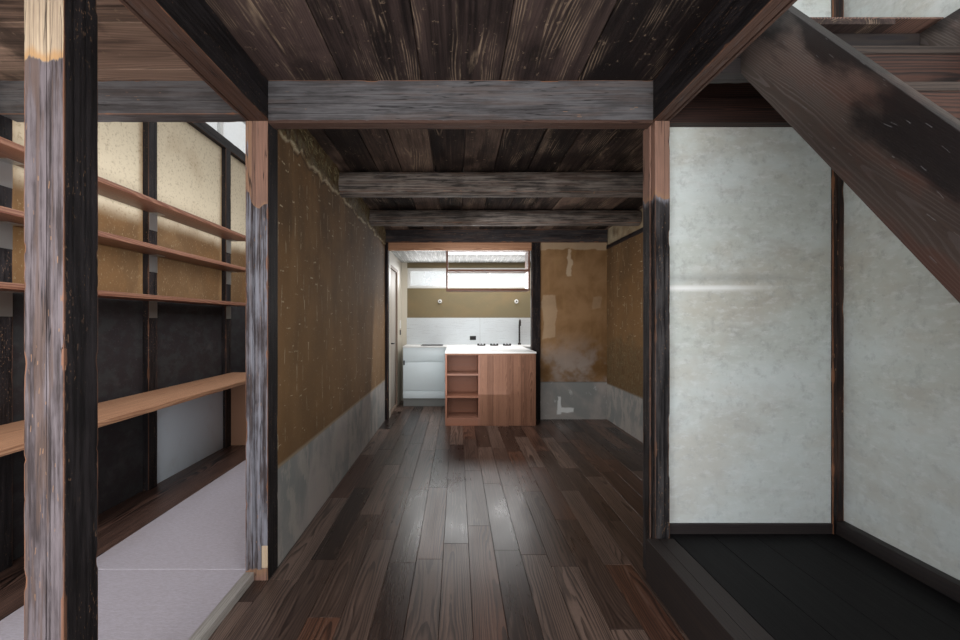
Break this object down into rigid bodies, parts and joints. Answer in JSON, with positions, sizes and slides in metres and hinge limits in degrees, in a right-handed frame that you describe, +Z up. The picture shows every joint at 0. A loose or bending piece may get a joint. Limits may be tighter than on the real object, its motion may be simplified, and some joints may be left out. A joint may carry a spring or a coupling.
{
  "type": "ground floor of a timber townhouse",
  "caption": "Open-fronted ground floor of a timber townhouse with post and beam frame, earth walls, boarded ceiling, stair, fitted shelves and kitchen.",
  "frame": {"origin": "middle of the footprint, at the underside of the base slab", "axes": "+X across the house to the right seen from the open front, +Y from the open front to the rear wall, +Z up"},
  "size_m": [4.33, 7.205, 3.57],
  "materials": {
    "base_slab": "trowelled concrete",
    "floor_boards": "oiled walnut-brown boards",
    "mats": "woven mats",
    "old_boards": "old dark boards",
    "pale_strip": "new pale softwood",
    "stair_floor": "black-stained boards",
    "old_frame": "aged, smoke-blackened and dusty",
    "charred_post": "charred and worn",
    "grey_post": "weathered grey",
    "upper_boards": "rough sawn boards with washed streaks",
    "tan_plaster": "sand and straw plaster",
    "white_plaster": "trowelled white plaster",
    "brown_plaster": "worn earth plaster",
    "outer_boards": "weathered boards",
    "outer_plaster": "plain plaster",
    "white_paint": "white paint",
    "glass": "clear",
    "kitchen_plaster": "smooth plaster",
    "new_oak": "oiled boards",
    "red_wood": "oiled red-brown boards",
    "door_paint": "painted",
    "bracket_steel": "satin",
    "cabinet_white": "satin white",
    "worktop": "satin white",
    "steel": "brushed",
    "black_fittings": "gloss black",
    "grey_panel": "light grey board"
  },
  "bodies": {
    "house": {"base_slab": "base_slab", "hall_floor": "floor_boards", "mats": "mats", "left_floor_strip": "old_boards", "left_threshold": "pale_strip", "front_sills": "old_frame", "stair_floor": "stair_floor", "floor_step": "stair_floor", "stair_bay_sills": "old_frame", "front_posts": "old_frame", "left_middle_post": "grey_post", "right_middle_post": "charred_post", "free_post": "grey_post", "corner_post": "charred_post", "left_wall_posts": "old_frame", "kitchen_posts": "old_frame", "middle_header": "old_frame", "side_beams": "old_frame", "front_beam": "old_frame", "left_cross_beam": "old_frame", "log_joists": "old_frame", "kitchen_beam": "old_frame", "stairwell_trimmer": "old_boards", "stair_bay_beam": "old_boards", "upper_floor": "upper_boards", "left_wall_panels": "tan_plaster", "left_wall_plate": "old_frame", "clerestory_frame": "white_paint", "window_glass": "glass", "party_boarding": "outer_boards", "right_wall_front": "white_plaster", "right_wall_rear": "brown_plaster", "hall_left_wall": "brown_plaster", "stair_bay_wall": "white_plaster", "kitchen_side_panel": "brown_plaster", "kitchen_lintel": "new_oak", "kitchen_left_wall": "kitchen_plaster", "kitchen_ceiling": "white_paint", "rear_wall_ends": "outer_plaster", "rear_wall_middle": "outer_plaster", "rear_window_frame": "white_paint", "door_frame": "pale_strip", "stair_stringers": "old_boards", "stair_treads": "old_boards", "stair_risers": "old_boards", "wall_shelves": "new_oak", "shelf_brackets": "bracket_steel", "desk_top": "new_oak", "desk_panels": "red_wood", "wood_unit": "red_wood", "base_cabinets": "cabinet_white", "worktop": "worktop", "hanging_shelf": "red_wood", "splash_plate": "steel", "kitchen_fittings": "black_fittings", "kitchen_tap": "steel", "wall_lamps": "white_paint"},
    "side_door": {"door_leaf": "door_paint", "door_handle": "black_fittings"}
  },
  "joints": [
    {"name": "side_door_swing", "type": "hinge", "parent": "house", "child": "side_door", "pos_m": [-0.763, 3.055, 1], "axis": [0, 0, -1], "range_deg": [0, 90]}
  ]
}
